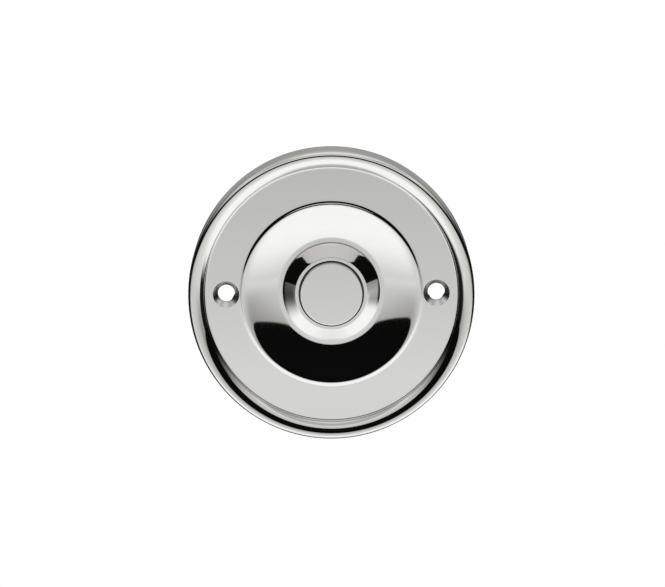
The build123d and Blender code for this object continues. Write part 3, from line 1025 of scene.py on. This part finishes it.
# %% Table and cloth
GLOW_FULL = 2.0
TABLE_GLOW = [
    (-90, 0.85), (-75, 0.85), (-70, 1.36), (-62, 1.56), (-42, 1.6),
    (-34, 1.52), (-28, 1.32), (-22.5, 1.09), (-20, 1.14), (-16, 0.98),
]
CLOTH_GLOW = [
    (-10.4, (0.84, 0.835, 0.825)), (-5, (0.68, 0.66, 0.635)), (30, (0.92, 0.88, 0.88)),
    (38, (0.94, 0.9, 0.9)), (44, (1.2, 1.17, 1.18)), (50, (0.7, 0.69, 0.7)),
    (62, (0.68, 0.68, 0.69)), (74, (1.15, 1.14, 1.15)), (90, (1.0, 0.98, 0.98)),
]
TENT_GLOW = [(height, (grey, grey, grey)) for height, grey in TABLE_GLOW] + CLOTH_GLOW


def glow_ramp(tree, height):
    """The tent's colour over the height in degrees, as a share of the full glow."""
    level = add(tree, "ShaderNodeMapRange", {"Value": height, "From Min": -90.0, "From Max": 90.0})
    ramp = add(tree, "ShaderNodeValToRGB", {"Fac": level.outputs["Result"]})
    stops = ramp.color_ramp.elements
    while len(stops) < len(TENT_GLOW):
        stops.new(0.5)
    for stop, (degrees, glow) in zip(stops, TENT_GLOW):
        stop.position = (degrees + 90) / 180
        stop.color = (*[channel / GLOW_FULL for channel in glow], 1)
    return ramp.outputs["Color"]


print("stops in the tent's ramp:", len(TENT_GLOW))

# %% [markdown]
# ## The dark opening ahead
#
# The tent is open towards the camera, and the dish gathers that opening into a dark crescent. Its
# lower edge is the table's, at one height all round. Its upper edge is straight, so it is measured
# as on a flat screen: sideways and upward, each over the depth. Both edges lean a little.

# %% Opening
OPENING_LOW = (-5.2, -4.1)
OPENING_HIGH = (0.535, 0.555)
OPENING_LEAN = 0.02
OPENING_SIDES = (-0.05, 0.05)
OPENING_DARK = 0.993
LEAST_DEPTH = 0.02


def opening_mask(tree, x, ahead, z, heading, height):
    """How dark the opening ahead is: nearly one inside it, nought elsewhere."""
    depth = add(tree, "ShaderNodeMath", {0: ahead, 1: LEAST_DEPTH}, operation="MAXIMUM").outputs[0]
    sideways = add(tree, "ShaderNodeMath", {0: x, 1: depth}, operation="DIVIDE").outputs[0]
    upward = add(tree, "ShaderNodeMath", {0: z, 1: depth}, operation="DIVIDE").outputs[0]
    table, screen = [
        add(tree, "ShaderNodeMath", {0: across, 1: -OPENING_LEAN, 2: up}, operation="MULTIPLY_ADD").outputs[0]
        for across, up in ((heading, height), (sideways, upward))
    ]
    above, below, front = [
        add(tree, "ShaderNodeMapRange", {
            "Value": value, "From Min": start, "From Max": end, "To Min": before, "To Max": after,
        }, interpolation_type="SMOOTHSTEP").outputs[0]
        for value, (start, end), (before, after) in (
            (table, OPENING_LOW, (0.0, 1.0)),
            (screen, OPENING_HIGH, (1.0, 0.0)),
            (ahead, OPENING_SIDES, (0.0, OPENING_DARK)),
        )
    ]
    between = add(tree, "ShaderNodeMath", {0: above, 1: below}, operation="MULTIPLY").outputs[0]
    return add(tree, "ShaderNodeMath", {0: between, 1: front}, operation="MULTIPLY").outputs[0]


print("the opening ends", round(math.degrees(math.atan(OPENING_HIGH[1])), 1), "degrees up")

# %% [markdown]
# ## Gaps at the sides and behind
#
# Dark gaps at both sides of the tent draw the black lines along the bead and round the cone. They
# begin at different headings left and right, reach lower at the back, and fade out above. Behind,
# the gap is paler above the table, and beside the opening the cloth lies in half shadow. Each of
# these is a soft step over a heading or a height in degrees, so one loop makes nearly all of them.

# %% Gaps
LEFT_GAP = (-56, -40)
RIGHT_GAP = (51, 57)
GAP_BEHIND = (135, 165)
GAP_HIGH = (8, 40)
GAP_LOW_BEHIND = (-88, -78)
GAP_DARK = 0.985
GAP_PALE = 0.46
PALE_ABOVE = (-14, -2)
HALF_SHADOW = (15, 42)
HALF_SHADOW_LOW = (-22, -10)
# What differs between the left side and the right
SIDES = {
    "shade": (0.2, 0.3),
    "round from": (50, 80),
    "round to": (100, 110),
    "low from": (-44, -34),
    "low to": (-12, -22),
}


def gap_mask(tree, heading, height):
    """How dark the gaps at the sides and behind are, with the half shadow beside the opening."""
    aside = add(tree, "ShaderNodeMath", {0: heading}, operation="ABSOLUTE").outputs[0]
    here = {
        name: add(tree, "ShaderNodeMapRange", {
            "Value": heading, "From Min": -1.0, "From Max": 1.0, "To Min": left, "To Max": right,
        }).outputs[0]
        for name, (left, right) in SIDES.items()
    }
    low_edges = [
        add(tree, "ShaderNodeMapRange", {
            "Value": aside, "From Min": here["round from"], "From Max": here["round to"],
            "To Min": here[name], "To Max": edge_behind,
        }).outputs[0]
        for name, edge_behind in zip(("low from", "low to"), GAP_LOW_BEHIND)
    ]
    steps = {
        name: add(tree, "ShaderNodeMapRange", {
            "Value": value, "From Min": start, "From Max": end, "To Min": before, "To Max": after,
        }, interpolation_type="SMOOTHSTEP").outputs[0]
        for name, value, (start, end), (before, after) in (
            ("left", heading, LEFT_GAP, (1.0, 0.0)),
            ("right", heading, RIGHT_GAP, (0.0, 1.0)),
            ("behind", aside, GAP_BEHIND, (0.0, 1.0)),
            ("low", height, low_edges, (0.0, 1.0)),
            ("high", height, GAP_HIGH, (1.0, 0.0)),
            ("raised", height, PALE_ABOVE, (0.0, 1.0)),
            ("veil", height, HALF_SHADOW_LOW, (0.0, here["shade"])),
        )
    }
    shadow = add(tree, "ShaderNodeMapRange", {
        "Value": aside, "From Min": HALF_SHADOW[0], "From Max": HALF_SHADOW[1], "To Max": steps["veil"],
    }, interpolation_type="SMOOTHSTEP").outputs[0]
    gap = add(tree, "ShaderNodeMath", {0: steps["left"], 1: steps["right"]}, operation="MAXIMUM").outputs[0]
    side = add(tree, "ShaderNodeMath", {0: gap, 1: shadow}, operation="MAXIMUM").outputs[0]
    within = add(tree, "ShaderNodeMath", {0: steps["low"], 1: steps["high"]}, operation="MULTIPLY").outputs[0]
    masked = add(tree, "ShaderNodeMath", {0: side, 1: within}, operation="MULTIPLY").outputs[0]
    pale = add(tree, "ShaderNodeMath", {
        0: steps["behind"], 1: steps["raised"],
    }, operation="MULTIPLY").outputs[0]
    depth = add(tree, "ShaderNodeMapRange", {
        "Value": pale, "To Min": GAP_DARK, "To Max": GAP_PALE,
    }).outputs[0]
    return add(tree, "ShaderNodeMath", {0: masked, 1: depth}, operation="MULTIPLY").outputs[0]


print("the front of the tent is clear of gaps for", RIGHT_GAP[0] - LEFT_GAP[1], "degrees")

# %% [markdown]
# ## The tent
#
# The cloth reads the direction from the sphere's middle, turns it into a height and a heading in
# degrees, and glows by what the opening and the gaps leave.

# %% Light tent
TENT_RADIUS = 0.9
DEGREES = 180 / math.pi


def tent_cloth():
    """Glowing cloth with its dark places, for reflections only."""
    material, tree = new_material("tent_cloth")
    place = add(tree, "ShaderNodeTexCoord").outputs["Object"]
    direction = add(tree, "ShaderNodeVectorMath", {0: place}, operation="NORMALIZE").outputs[0]
    x, y, z = add(tree, "ShaderNodeSeparateXYZ", {0: direction}).outputs[:3]
    ahead = add(tree, "ShaderNodeMath", {0: y, 1: -1.0}, operation="MULTIPLY").outputs[0]
    rise = add(tree, "ShaderNodeMath", {0: z}, operation="ARCSINE").outputs[0]
    turn = add(tree, "ShaderNodeMath", {0: x, 1: ahead}, operation="ARCTAN2").outputs[0]
    height = add(tree, "ShaderNodeMath", {0: rise, 1: DEGREES}, operation="MULTIPLY").outputs[0]
    heading = add(tree, "ShaderNodeMath", {0: turn, 1: DEGREES}, operation="MULTIPLY").outputs[0]
    opening = opening_mask(tree, x, ahead, z, heading, height)
    gaps = gap_mask(tree, heading, height)
    dark = add(tree, "ShaderNodeMath", {0: opening, 1: gaps}, operation="MAXIMUM").outputs[0]
    strength = add(tree, "ShaderNodeMapRange", {"Value": dark, "To Min": GLOW_FULL, "To Max": 0.0}).outputs[0]
    glow = add(tree, "ShaderNodeEmission", {
        "Color": glow_ramp(tree, height), "Strength": strength,
    }).outputs[0]
    add(tree, "ShaderNodeOutputMaterial", {"Surface": glow})
    return material


sphere = bmesh.new()
bmesh.ops.create_uvsphere(sphere, u_segments=64, v_segments=32, radius=TENT_RADIUS)
tent_mesh = bpy.data.meshes.new("light_tent")
sphere.to_mesh(tent_mesh)
sphere.free()
tent_mesh.materials.append(tent_cloth())
tent = bpy.data.objects.new("light_tent", tent_mesh)
bpy.context.collection.objects.link(tent)
tent.visible_camera = False
tent.visible_diffuse = False
tent.visible_transmission = False
tent.visible_shadow = False
print("tent across, in metres:", 2 * TENT_RADIUS)

# %% [markdown]
# ## Floor and lamps
#
# The push hangs on its wall, so the pale floor lies well below it and out of the picture, where it
# still catches a soft shadow. Two large lamps, one above the camera and a weaker one behind, light
# what isn't mirror-like. The front lamp stays out of reflections, because there the chrome should
# show only the tent. The back one is so broad that in the chrome it passes for bright cloth.

# %% Floor and lamps
FLOOR_DEPTH = 0.25
FLOOR_RADIUS = 0.3


def floor_paint():
    """Matt off-white paint that catches a soft shadow."""
    material, tree = new_material("floor_paint")
    shader = add(tree, "ShaderNodeBsdfPrincipled", {"Base Color": linear("#efeeec"), "Roughness": 0.8})
    add(tree, "ShaderNodeOutputMaterial", {"Surface": shader.outputs["BSDF"]})
    return material


def hang_lamp(name, place, watts, size, mirrored):
    """A square soft lamp that points at the object, and may show in reflections."""
    light = bpy.data.lights.new(name, "AREA")
    light.energy = watts
    light.size = size
    lamp = bpy.data.objects.new(name, light)
    bpy.context.collection.objects.link(lamp)
    lamp.location = place
    lamp.rotation_euler = Vector(place).to_track_quat("Z", "Y").to_euler()
    lamp.visible_glossy = mirrored


disc = bmesh.new()
bmesh.ops.create_circle(disc, cap_ends=True, segments=96, radius=FLOOR_RADIUS)
bmesh.ops.translate(disc, vec=(0, 0, -FLOOR_DEPTH), verts=disc.verts)
floor_mesh = bpy.data.meshes.new("floor")
disc.to_mesh(floor_mesh)
disc.free()
floor_mesh.materials.append(floor_paint())
floor = bpy.data.objects.new("floor", floor_mesh)
bpy.context.collection.objects.link(floor)
floor.visible_glossy = False
hang_lamp("front_lamp", place=(-0.25, -0.6, 0.55), watts=4.0, size=0.5, mirrored=False)
hang_lamp("back_lamp", place=(0.1, 0.4, 0.7), watts=2.0, size=1.3, mirrored=True)
print("floor, in metres below the object's middle:", FLOOR_DEPTH)

# %% [markdown]
# ## Background
#
# A white card behind the object would throw its light on it. A white world needs no card: the
# light path tells what kind of ray asks, so the world is full white to the eye, to mirrors and to
# glass, and a little dimmer as a source of light.

# %% Background
WORLD_FILL = 0.6
scene = bpy.context.scene
scene.view_settings.view_transform = "Standard"
world = bpy.data.worlds.new("white_room")
scene.world = world
world.use_nodes = True
sky = world.node_tree
sky.nodes.clear()
rays = add(sky, "ShaderNodeLightPath").outputs
seen = rays["Is Camera Ray"]
for kind in ("Is Glossy Ray", "Is Transmission Ray"):
    seen = add(sky, "ShaderNodeMath", {0: seen, 1: rays[kind]}, operation="MAXIMUM").outputs[0]
level = add(sky, "ShaderNodeMapRange", {"Value": seen, "To Min": WORLD_FILL, "To Max": 1.0}).outputs["Result"]
backdrop = add(sky, "ShaderNodeBackground", {"Color": linear("#ffffff"), "Strength": level}).outputs[0]
add(sky, "ShaderNodeOutputWorld", {"Surface": backdrop})
print("the world lights the object at a strength of", WORLD_FILL)

# %% [markdown]
# ## Camera
#
# The picture was taken from a little above, yet circles parallel to the wall stay round in it, so
# the lens was shifted rather than tilted. A camera here can't lean its picture plane by itself. Its
# stand does that: the camera hangs on an empty by a sheared matrix, which keeps the picture plane
# upright while the view comes down from above. The whole view is also turned by half a degree.

# %% Camera
VIEW_DISTANCE = 480.0
VIEW_RISE = 0.29
FRAME_WIDTH = 176.96
AIM_X = 0.31
AIM_Z = 0.05
ROLL_DEG = -0.5
SENSOR_WIDTH = 36.0
eye = Vector((0, -(FLAT_HEIGHT + VIEW_DISTANCE), VIEW_RISE * VIEW_DISTANCE)) * MM
aim = Vector((AIM_X, -FLAT_HEIGHT, AIM_Z)) * MM
roll = math.radians(ROLL_DEG)
rightward = Vector((math.cos(roll), 0, math.sin(roll)))
upward = Vector((-math.sin(roll), 0, math.cos(roll)))
view = Matrix((rightward, upward, (eye - aim).normalized())).transposed().to_4x4()
view.translation = eye
lens = bpy.data.cameras.new("camera")
lens.sensor_width = SENSOR_WIDTH
lens.lens = SENSOR_WIDTH * (eye - aim).length / (FRAME_WIDTH * MM)
camera = bpy.data.objects.new("camera", lens)
stand = bpy.data.objects.new("camera_stand", None)
for thing in (camera, stand):
    bpy.context.collection.objects.link(thing)
camera.parent = stand
camera.matrix_parent_inverse = view
scene.camera = camera
print("lens, in mm:", round(lens.lens, 1))
